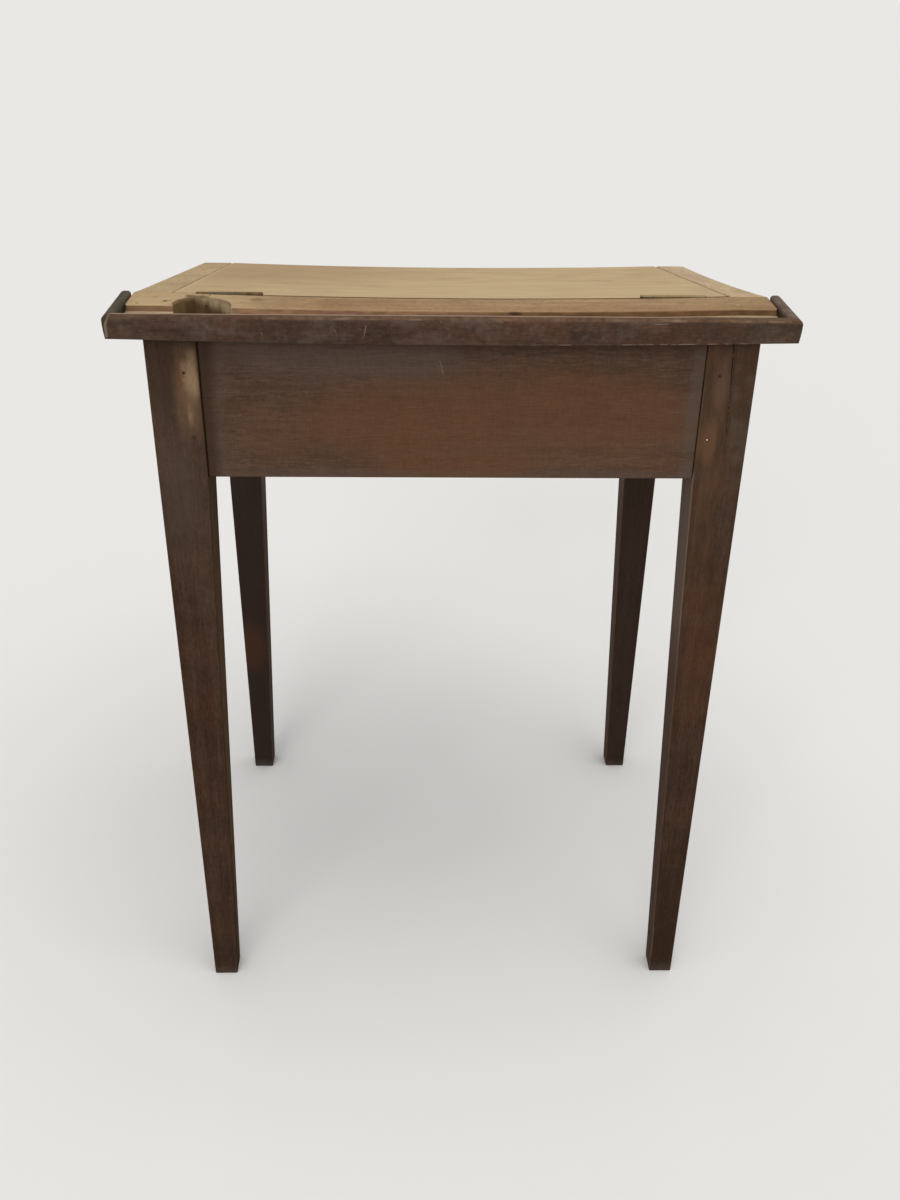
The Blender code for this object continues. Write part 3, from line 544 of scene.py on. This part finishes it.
def apron_tones(mix, colour):
    """The rear apron's warm and red heart, its grey bloom at top and ends, and its fine weave."""
    x, z = mix.at[X], mix.at[Z]
    drift = mix.noise((15.0, 15.0, 26.0), 5.0, 6.0) - 0.5
    heart = rear_spot(mix, (0.030, 0.585), (0.280, 0.090), depth=APRON_MARK_DEPTH)
    colour = mix.blend(mix.band(heart + drift * 0.9, 0.00, 0.80) * 0.50, colour, WARM_STAIN)
    left_red = rear_spot(mix, (-0.020, 0.590), (0.180, 0.055), depth=APRON_MARK_DEPTH)
    right_red = rear_spot(mix, (0.100, 0.595), (0.140, 0.056), depth=APRON_MARK_DEPTH)
    low_red = rear_spot(mix, (0.000, 0.556), (0.110, 0.026), depth=APRON_MARK_DEPTH)
    red = mix.band(mix.most(left_red, right_red, low_red) + drift * 1.6, 0.05, 1.00)
    colour = mix.blend(red * 0.42, colour, RUST_STAIN)
    upper = rear_spot(mix, (-0.080, 0.650), (0.200, 0.050), depth=APRON_MARK_DEPTH)
    colour = mix.blend(mix.band(upper + drift * 1.6, 0.15, 0.90) * 0.52, colour, GREY_BLOOM)
    warp = mix.streaks(X, 80.0, 900.0, 23.0, 2.0)
    weft = mix.streaks(Z, 120.0, 700.0, 24.0, 2.0)
    colour = mix.lit(colour, (warp * 0.6 + weft * 0.4) * 0.7 + 0.65)
    left_end = mix.band(x + drift * 0.02, -0.164, -0.184)
    bottom = mix.band(z + drift * 0.012, 0.5560, 0.5460)
    colour = mix.blend(mix.most(left_end, bottom) * 0.30, colour, GREY_BLOOM)
    right_end = mix.band(x + drift * 0.014, 0.1780, 0.1850)
    right_end = right_end * mix.patches(70.0, 25.0, 0.25, 0.55, 3.0)
    return mix.blend(right_end * 0.55, colour, GREY_BLOOM)


def rear_apron_finish():
    """The rear apron: rusty brown in its middle, grey where its stain has bloomed at the edges."""
    low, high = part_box("apron_rear")
    tones = (APRON_DEEP, APRON_BROWN)
    mix, colour, relief = stained_wood("apron_rear_wood", X, 21.0, 0.15, 0.15, tones)
    x, y, z = mix.at
    colour = apron_tones(mix, colour)
    scratch = mix.stroke((-0.0100, APRON_FACE, 0.6400), (-0.0075, APRON_FACE, 0.6300), 0.0006)
    colour = mix.blend(scratch * 0.4, colour, RAIL_WORN)
    # painted shade on the apron beside the left leg, wider at the top
    shade = mix.band(x - mix.band(z, 0.60, 0.65) * 0.003, -0.1760, -0.1880)
    colour = mix.blend(shade * 0.70, colour, DARK_STAIN)
    seam = mix.most(mix.band(x, -0.1893, -0.1904), mix.band(x, 0.1899, 0.1906))
    colour = mix.blend(seam * 0.9, colour, SEAM_DARK)
    worn = mix.worn_edges(low, high, 0.0010, 22.0)
    colour = mix.blend(worn * mix.band(abs(x), 0.186, 0.184) * 0.3, colour, GREY_BLOOM)
    inside = mix.band(y, high[Y] - 0.006, high[Y] - 0.003)
    colour = mix.blend(inside * 0.9, colour, DEAL_BROWN)
    colour = with_well(mix, colour)[0]
    wear_on("apron_rear", mix.done_as_wood(colour, relief, 0.65))


def apron_finish(name, grain, seed, outward):
    """An apron whose outer face, towards outward along its thickness, is stained."""
    low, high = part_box(name)
    mix, colour, relief = stained_wood(name + "_wood", grain, seed, 0.55, 0.3)
    across = Y if grain == X else X
    depth = mix.at[across] - low[across] if outward < 0 else high[across] - mix.at[across]
    colour = mix.lit(colour, 1.15)
    worn = mix.worn_edges(low, high, 0.0010, seed)
    colour = mix.blend(worn * 0.4, colour, WARM_WORN)
    inside = mix.band(depth, 0.012, 0.015)
    colour = mix.blend(inside * 0.9, colour, DEAL_BROWN)
    wear_on(name, mix.done_as_wood(colour, relief, 0.55))


# the rail


def rail_face(mix, colour, face):
    """The rail's rear face: more olive at its ends, fuzzily bloomed, specked and scratched."""
    x, y = mix.at[X], mix.at[Y]
    ends = mix.band(abs(x + 0.012) + mix.clouds(30.0, 43.0) * 0.05, 0.215, 0.262)
    colour = mix.blend(ends * 0.22, colour, OLIVE_BROWN)
    fuzzy = mix.noise((36.0, 36.0, 60.0), 44.0, 6.0) * 0.65 + mix.clouds(170.0, 45.0, 4.0) * 0.35
    colour = mix.blend(mix.band(fuzzy, 0.46, 0.66) * 0.65, colour, RAIL_BLOOM)
    specks = mix.patches(380.0, 46.0, 0.62, 0.76, 2.0)
    colour = mix.blend(specks * 0.14, colour, RAIL_WORN)
    colour = mix.lit(colour, mix.clouds(260.0, 42.0, 3.0) * 0.7 + 0.55)
    in_front = mix.band(y, face + 0.0035, face + 0.0025)
    for (start_x, start_z), (end_x, end_z), half_width in RAIL_SCRATCHES:
        scratch = mix.stroke((start_x, face, start_z), (end_x, face, end_z), half_width)
        colour = mix.blend(scratch * in_front * 0.5, colour, RAIL_WORN)
    return colour


def rail_top(mix, colour, face, inner_face, top, rubbed):
    """The rail's top: browned, soiled, pale at both arrises, a painted highlight near its right
    end.
    """
    x, y = mix.at[X], mix.at[Y]
    browner = mix.band(x + rubbed * 0.04, -0.150, -0.090) * 0.30 + 0.15
    colour = mix.blend(top * browner, colour, mix.lit(RAIL_TOP, rubbed * 1.2 + 0.4))
    colour = mix.blend(top * mix.patches(230.0, 49.0, 0.48, 0.66, 3.0) * 0.45, colour, RAIL_DARK)
    arris = mix.band(y, face + 0.0022, face + 0.0008) * top
    colour = mix.blend(arris * mix.band(rubbed, 0.48, 0.70) * 0.35, colour, RAIL_WORN)
    inner_arris = mix.band(y + rubbed * 0.0012, inner_face - 0.0042, inner_face - 0.0030) * top
    colour = mix.blend(inner_arris * mix.band(x, 0.200, 0.130) * 0.80, colour, RAIL_WORN)
    # a painted highlight on the top edge near the right end
    painted_highlight = mix.stroke((0.2290, face, 0.6774), (0.2400, face, 0.6774), 0.0012)
    return mix.blend(painted_highlight * (rubbed * 1.4), colour, TRAY_PALE)


def rail_finish():
    """The pencil rail: dark and worn, with chips along its bowed lower edge and a pale corner."""
    low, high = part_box("pencil_rail")
    tones = (RAIL_DARK, RAIL_BROWN)
    mix, colour, relief = stained_wood("pencil_rail_wood", X, 41.0, 0.35, 0.2, tones)
    x, z = mix.at[X], mix.at[Z]
    top = mix.band(z, high[Z] - 0.0028, high[Z] - 0.0014)
    rubbed = mix.noise((40.0, 150.0, 40.0), 47.0, 4.0)
    colour = rail_face(mix, colour, low[Y])
    colour = rail_top(mix, colour, low[Y], high[Y], top, rubbed)
    bow = x * (1 / BOW_REACH)
    height = z - RAIL_FOOT + mix.most(1.0 - bow * bow, 0.0) * RAIL_BOW
    chips = mix.band(mix.noise((130.0, 40.0, 40.0), 48.0, 3.0), 0.46, 0.60)
    chips = chips * mix.band(x, 0.000, 0.110) * mix.band(x, 0.225, 0.205)
    colour = mix.blend(mix.band(height, 0.0007, 0.0002) * chips * 0.80, colour, RAIL_WORN)
    rounding = mix.band(height, 0.010, 0.0175)
    corner = mix.band(x - rounding * 0.002, -0.2498, -0.2515)
    colour = mix.blend(corner * mix.band(rubbed, 0.30, 0.55) * 0.55, colour, RAIL_WORN)
    past_corner = mix.band(x - rounding * 0.003, -0.2522, -0.2528)
    colour = mix.blend(past_corner, colour, OLIVE_DARK)
    low_corner = mix.band(height, 0.0016, 0.0006) * mix.band(x, -0.2475, -0.2495)
    colour = mix.blend(low_corner * 0.9, colour, SEAM_DARK)
    wear_on("pencil_rail", mix.done(colour, top * 0.2 + 0.58, relief, gloss=WAXED_GLOSS))


def end_piece_finish(name, seed, dark, light):
    """An end piece of the rail: open grain under an even stain of its own two tones."""
    low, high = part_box(name)
    mix = Finish(name + "_wood")
    relief = open_grain(mix, Y, seed)[1]
    tone = mix.streaks(Y, 28.0, 260.0, seed + 6, 3.0) * 0.5 + mix.clouds(80.0, seed + 7, 4.0) * 0.5
    fine = mix.streaks(Y, 60.0, 900.0, seed + 8, 2.0)
    colour = mix.lit(mix.blend(mix.band(tone, 0.38, 0.62), dark, light), fine * 0.7 + 0.65)
    worn = mix.worn_edges(low, high, 0.0010, seed)
    colour = mix.blend(worn * 0.25, colour, RAIL_WORN)
    # painted shadow low on the inner side, in the gap by the strip's end
    shadowed_inside = mix.band(mix.at[Z], 0.6765, 0.6730) * mix.band(abs(mix.at[X]), 0.2500, 0.2475)
    colour = mix.blend(shadowed_inside * 0.7, colour, SEAM_DARK)
    wear_on(name, mix.done_as_wood(colour, relief, 0.50, WAXED_GLOSS))


# the top


def strip_land(mix, colour, grubby):
    """The strip's land: paler to the left, flecked, and soiled beside the hole."""
    x, y = mix.at[X], mix.at[Y]
    colour = mix.blend(mix.patches(12.0, 58.0, 0.46, 0.66) * 0.30, colour, LAND_BROWN)
    flecks = mix.patches(210.0, 60.0, 0.46, 0.70, 4.0)
    colour = mix.blend(flecks * 0.40, colour, LAND_BROWN)
    colour = mix.blend(mix.band(x, -0.100, -0.200) * 0.50, colour, PALE_TAN)
    colour = mix.blend(mix.band(x, 0.070, 0.200) * 0.16, colour, LAND_BROWN)
    dusty = mix.band(y + flecks * 0.003, -0.1340, -0.1480) * mix.band(x, -0.170, -0.140)
    colour = mix.blend(dusty * 0.18, colour, LAND_BROWN)
    smudge = mix.spot((-0.1480, -0.1350, LAND_HEIGHT), (0.0140, 0.0150, 0.02), 0.0)
    return mix.blend(mix.band(smudge + grubby * 0.5, 0.4, 1.3) * 0.45, colour, GRIME)


def strip_tray(mix, colour, height):
    """The pen tray, scrubbed pale along the grain and stained by the rail."""
    y = mix.at[Y]
    tray = mix.band(height, 0.0009, 0.0004) * mix.band(y, STEP_LINE + 0.0002, STEP_LINE - 0.0006)
    scrubbed = mix.streaks(X, 12.0, 260.0, 54.0, 4.0) * 0.5 + mix.clouds(28.0, 55.0, 4.0) * 0.5
    colour = mix.blend(tray * 0.8, colour, mix.lit(TRAY_PALE, scrubbed * 0.9 + 0.55))
    stains = mix.patches(34.0, 57.0, 0.54, 0.72, 4.0) * mix.band(y, -0.1790, -0.1740)
    return mix.blend(stains * tray * 0.45, colour, LAND_BROWN)


def strip_step(mix, colour, height):
    """The step between tray and land: browner, reddish on its left, with one knot."""
    x, y = mix.at[X], mix.at[Y]
    step = mix.band(y, STEP_LINE - 0.0008, STEP_LINE - 0.0003) * mix.band(height, 0.0047, 0.0036)
    dark = mix.noise((90.0, 90.0, 300.0), 52.0, 5.0)
    face = mix.blend(mix.band(x + dark * 0.06, 0.110, -0.010), STEP_BROWN, STEP_TAN)
    reddish = mix.noise((24.0, 24.0, 24.0), 53.0, 3.0) * mix.band(x, -0.015, -0.040)
    face = mix.blend(mix.band(reddish, 0.42, 0.60) * 0.7, face, STEP_RED)
    face = mix.lit(face, dark * 1.6 + 0.20)
    face = mix.blend(mix.band(x, -0.200, -0.208) * 0.45, face, LAND_BROWN)
    colour = mix.blend(step * 0.92, colour, face)
    knot = mix.spot((0.0465, STEP_LINE, 0.6700), (0.0075, 0.010, 0.0022), 0.3)
    return mix.blend(knot * 0.85, colour, KNOT_BROWN)


def strip_dirt(mix, colour, height, grubby):
    """The inkwell hole's wall and the ink and dirt on the land round it."""
    x = mix.at[X]
    on_top = mix.band(height, 0.0040, 0.0048)
    colour, from_axis, soiled = with_well(mix, colour)
    beyond_hole = mix.spot((-0.1930, -0.1300, LAND_HEIGHT), (0.0180, 0.0120, 0.02), 0.1)
    by_hole = mix.band(from_axis, 0.0270, HOLE_RADIUS) * mix.band(x, -0.182, -0.194)
    dirt = mix.most(beyond_hole, by_hole) * 0.8 + soiled * 1.3 + grubby * 0.3
    colour = mix.blend(mix.band(dirt, 0.95, 1.55) * on_top * 0.75, colour, GRIME)
    specks = mix.patches(260.0, 56.0, 0.66, 0.74, 1.0)
    return mix.blend(specks * on_top * mix.band(x, -0.120, -0.190) * 0.5, colour, GRIME)


def strip_finish():
    """The fixed strip with its sanded land, its step and its tray, in one finish."""
    tones = (LAND_PALE, LAND_TAN, LAND_BROWN)
    mix, colour, relief = sanded_wood("hinge_strip_wood", X, (0, -0.30, 0.58), 51.0, tones)
    x, y, z = mix.at
    height = z - TRAY_HEIGHT + sunk(mix)
    grubby = mix.patches(120.0, 59.0, 0.46, 0.66, 5.0)
    colour = strip_land(mix, colour, grubby)
    colour = strip_tray(mix, colour, height)
    colour = strip_step(mix, colour, height)
    colour = strip_dirt(mix, colour, height, grubby)
    arris = mix.band(abs(height - 0.0047), 0.0009, 0.0002)
    arris = arris * mix.band(abs(y - STEP_LINE), 0.0016, 0.0008)
    colour = mix.blend(arris * 0.12, colour, GOLD_TAN)
    joint = mix.band(y, HINGE_LINE - 0.0024, HINGE_LINE - 0.0014) * mix.band(x, *GRIMY_FROM)
    colour = mix.blend(joint * mix.band(x, 0.2155, 0.2150) * 0.75, colour, GRIME)
    wear_on("hinge_strip", mix.done_as_wood(colour, relief, 0.62))


def lid_board_finish(name, heart, seed):
    """A board of the lid, paler and yellower towards the strip, left unsanded underneath."""
    tones = (PALE_TAN, GOLD_TAN, BROWN_TAN)
    mix, colour, relief = sanded_wood(name + "_wood", X, heart, seed, tones)
    x, y, z = mix.at
    drift = mix.noise((7.0, 20.0, 20.0), 96.0, 5.0) - 0.5
    paler = mix.spot((0.080, -0.150, 0.670), (0.300, 0.300, 0.3), 0.0)
    colour = mix.blend(mix.band(paler + drift, 0.0, 0.8) * 0.45, colour, PALE_TAN)
    browner = mix.spot((-0.200, 0.180, 0.640), (0.280, 0.340, 0.3), 0.0)
    colour = mix.blend(mix.band(browner + drift, 0.0, 0.8) * 0.60, colour, BROWN_TAN)
    depth = LAND_HEIGHT - (y - HINGE_LINE) * LID_FALL - z
    under = mix.band(depth, LID_UNDERSIDE, LID_UNDERSIDE + 0.0015)
    colour = mix.blend(under * 0.6, colour, DEAL_BROWN)
    hinge_edge = mix.band(y, HINGE_LINE + 0.0024, HINGE_LINE + 0.0014) * mix.band(x, *GRIMY_FROM)
    right_edge = mix.band(x, 0.2140, 0.2148)
    colour = mix.blend(mix.most(hinge_edge, right_edge) * 0.75, colour, GRIME)
    # painted light along the left edge, paling the shadow in its joint with the side rail
    lit_left_edge = mix.band(x, -0.2110, -0.2150)
    colour = mix.blend(lit_left_edge * 0.6, colour, PALE_TAN)
    wear_on(name, mix.done_as_wood(colour, relief, 0.64))


def side_rail_finish(name, heart, seed, level, tones):
    """A fixed side rail of the top, sanded like the lid, lit by its own level."""
    low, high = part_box(name)
    mix, colour, relief = sanded_wood(name + "_wood", Y, heart, seed, tones)
    colour = mix.lit(colour, level)
    worn = mix.worn_edges(low, high, 0.0012, seed)
    colour = mix.blend(worn * 0.3, colour, tones[0])
    wear_on(name, mix.done_as_wood(colour, relief, 0.62))


def deal_finish(name, grain, seed):
    """Plain unstained wood of the box's bottom and the lid's battens, dusty with age."""
    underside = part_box(name)[0][Z]
    heart = (0.02, 0.05, underside - 0.06)
    tones = (DEAL_PALE, DEAL_BROWN, BROWN_TAN)
    mix, colour, relief = sanded_wood(name + "_wood", grain, heart, seed, tones)
    dust = mix.patches(14.0, seed + 7, 0.42, 0.70)
    colour = mix.blend(dust * 0.4, colour, BROWN_TAN)
    wear_on(name, mix.done_as_wood(colour, relief, 0.66))


# the metal


def brass_finish(name, rubbed_lit_above):
    """Old hinge brass: browned, grey where grease dried, rubbed and painted light above a height.
    """
    mix = Finish(name)
    tarnish = mix.patches(110.0, 61.0, 0.34, 0.62, 3.0)
    grey = mix.noise((70.0, 200.0, 200.0), 65.0, 2.0)
    fine = mix.clouds(900.0, 62.0, 3.0)
    colour = mix.blend(mix.band(grey, 0.42, 0.60), BRASS_DULL, BRASS_GREY)
    colour = mix.blend(tarnish * 0.65, colour, BRASS_DARK)
    # above that height the barrel's top is rubbed brass with painted light
    rubbed = mix.band(mix.at[Z] + fine * 0.0004, rubbed_lit_above, rubbed_lit_above + 0.0007)
    colour = mix.lit(mix.blend(rubbed * 0.8, colour, BRASS_RUBBED_LIT), fine * 0.5 + 0.75)
    return mix.done_as_metal(colour, tarnish * 0.2 + 0.60, fine)


def steel_finish(name, rubbed, rusty):
    """Iron nails, brads and screws between their rubbed tone and their old rust."""
    mix = Finish(name)
    rust = mix.patches(420.0, 63.0, 0.36, 0.60, 4.0)
    fine = mix.clouds(1500.0, 64.0, 3.0)
    colour = mix.lit(mix.blend(rust, rubbed, rusty), fine * 0.5 + 0.75)
    return mix.done_as_metal(colour, rust * 0.2 + 0.65, fine)


def rubbed_head_finish(name):
    """A brad whose stained head is rubbed bright in its middle."""
    low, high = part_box(name)
    mix = Finish(name + "_iron")
    middle = [(a + b) / 2 for a, b in zip(low, high)]
    bright = mix.spot(middle, (0.0010, 0.1000, 0.0010), 0.4)
    fine = mix.clouds(1500.0, 64.0, 3.0)
    colour = mix.lit(mix.blend(bright, WARM_STAIN, STEEL_BRIGHT), fine * 0.5 + 0.75)
    wear_on(name, mix.done_as_metal(colour, fine * 0.2 + 0.55, fine))


def filled_finish():
    """Nails whose heads lie under sanded filler of the wood's own colour."""
    mix = Finish("filled_nail")
    fine = mix.clouds(500.0, 66.0, 3.0)
    colour = mix.lit(FILLER_TAN, fine * 0.5 + 0.72)
    return mix.done(colour, fine * 0.1 + 0.6, fine, PITTING_DEPTH)


# the studio


def make_floor():
    """A pale floor to the camera and to gloss; its light on the desk is that of a darker one."""
    material = bpy.data.materials.new("studio_floor")
    mix = Mix(material)
    pale = mix.node("BsdfDiffuse", sockets={"Color": STUDIO_TONE})
    bounce = mix.node("BsdfDiffuse", sockets={"Color": BOUNCE_TONE})
    shown = mix.node("MixShader", sockets={0: seen_directly(mix), 1: bounce, 2: pale})
    mix.node("OutputMaterial", sockets={0: shown})
    mesh = bpy.data.meshes.new("studio_floor")
    reach = FLOOR_REACH
    corners = [(-reach, -reach, 0), (reach, -reach, 0), (reach, reach, 0), (-reach, reach, 0)]
    mesh.from_pydata(corners, [], [(0, 1, 2, 3)])
    mesh.materials.append(material)
    floor = bpy.data.objects.new("studio_floor", mesh)
    bpy.context.scene.collection.objects.link(floor)


def seen_directly(mix):
    """1 for what the camera sees, also by way of gloss and glass, and 0 for the light on things."""
    kinds = ("Camera", "Glossy", "Transmission")
    return mix.most(*[mix.node("LightPath", output=f"Is {kind} Ray") for kind in kinds])


def make_room():
    """An even room light behind a pale backdrop."""
    world = bpy.data.worlds.new("studio_room")
    bpy.context.scene.world = world
    mix = Mix(world)
    light = mix.node("Background", sockets={"Color": ROOM_TONE, "Strength": 1.0})
    backdrop = mix.node("Background", sockets={"Color": STUDIO_TONE, "Strength": 1.0})
    seen = mix.node("MixShader", sockets={0: seen_directly(mix), 1: light, 2: backdrop})
    mix.node("OutputWorld", sockets={0: seen})


def make_light(name, leftward, upward, softness, level):
    """A wide far light: alone, it shows a pale face square to it at that level."""
    data = bpy.data.lights.new(name, "SUN")
    data.energy = level * math.pi
    data.angle = math.radians(softness)
    light = bpy.data.objects.new(name, data)
    light.rotation_euler = (math.radians(90.0 - upward), 0.0, -math.radians(leftward))
    bpy.context.scene.collection.objects.link(light)


def make_camera():
    """The photograph's view: turned, tipped down and rolled as it was taken."""
    data = bpy.data.cameras.new("photograph_view")
    data.lens = CAMERA_LENS
    camera = bpy.data.objects.new("photograph_view", data)
    down, yaw, roll = (math.radians(angle) for angle in (CAMERA_DOWN, CAMERA_YAW, CAMERA_ROLL))
    flat = math.cos(down)
    forward = Vector((math.sin(yaw) * flat, math.cos(yaw) * flat, -math.sin(down)))
    level = Vector((math.cos(yaw), -math.sin(yaw), 0.0))
    below = forward.cross(level)
    right = level * math.cos(roll) + below * math.sin(roll)
    up = level * math.sin(roll) - below * math.cos(roll)
    turn = Matrix((right, up, -forward)).transposed().to_4x4()
    camera.matrix_world = Matrix.Translation(CAMERA_PLACE) @ turn
    bpy.context.scene.collection.objects.link(camera)
    bpy.context.scene.camera = camera


# dressing the desk


def dress_frame():
    """The four legs and the four aprons."""
    leg_finish("left", "rear", 11.0, 0.0, rubbed_patch)
    leg_finish("right", "rear", 12.0, 0.8, crack_and_warm_band)
    leg_finish("left", "front", 13.0, 0.8, red_patch)
    leg_finish("right", "front", 14.0, 0.8, dark_stain_and_shade)
    rear_apron_finish()
    apron_finish("apron_front", X, 31.0, 1)
    apron_finish("apron_left", Y, 32.0, -1)
    apron_finish("apron_right", Y, 33.0, 1)


def dress_top():
    """The rail with its end pieces, the fixed strip, the lid's boards and the side rails."""
    left_tones = (GOLD_TAN, GOLD_TAN, BROWN_TAN)
    right_tones = (PALE_TAN, PINK_TAN, BROWN_TAN)
    rail_finish()
    end_piece_finish("rail_end_piece_left", 81.0, OLIVE_DARK, OLIVE_BROWN)
    end_piece_finish("rail_end_piece_right", 82.0, ASH_DARK, ASH_BROWN)
    strip_finish()
    lid_board_finish("lid_board_rear", (0, -0.02, 0.53), 91.0)
    lid_board_finish("lid_board_front", (0, 0.16, 0.50), 92.0)
    side_rail_finish("top_side_rail_left", (-0.25, 0, 0.60), 93.0, 0.93, left_tones)
    side_rail_finish("top_side_rail_right", (0.20, 0, 0.60), 94.0, 1.0, right_tones)


def dress_box():
    """The bottom boards of the book box and the lid's battens."""
    for number in (1, 2, 3):
        deal_finish(f"floor_board_{number}", X, 100.0 + number)
    deal_finish("lid_batten_left", Y, 111.0)
    deal_finish("lid_batten_right", Y, 112.0)


def dress_metal():
    """The hinges, nails, brads and screws, told apart by their names."""
    left_brass = brass_finish("left_hinge_brass", 0.6756)
    right_brass = brass_finish("right_hinge_brass", 0.6746)
    iron = steel_finish("old_iron", STEEL_GREY, STEEL_RUST)
    stained = steel_finish("stained_iron", LAND_BROWN, WELL_DARK)
    soiled = steel_finish("soiled_iron", WELL_BROWN, WELL_DARK)
    filled = filled_finish()
    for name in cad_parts:
        if name == "hinge_left_strip_screw_left":
            wear_on(name, soiled)
        elif name.startswith(("strip_nail_left", "hinge_left_strip_screw")):
            wear_on(name, stained)
        elif name.startswith("hinge_left"):
            wear_on(name, left_brass)
        elif name.startswith("hinge_right"):
            wear_on(name, right_brass)
        elif name.startswith(("side_rail_nail", "strip_nail_right")):
            wear_on(name, filled)
        elif name == "apron_rear_brad_lower_right":
            rubbed_head_finish(name)
        elif "nail" in name or "screw" in name or "brad" in name:
            wear_on(name, iron)


dress_frame()
dress_top()
dress_box()
dress_metal()
make_floor()
make_room()
for light in LIGHTS:
    make_light(*light)
make_camera()
bpy.context.scene.view_settings.view_transform = "Standard"
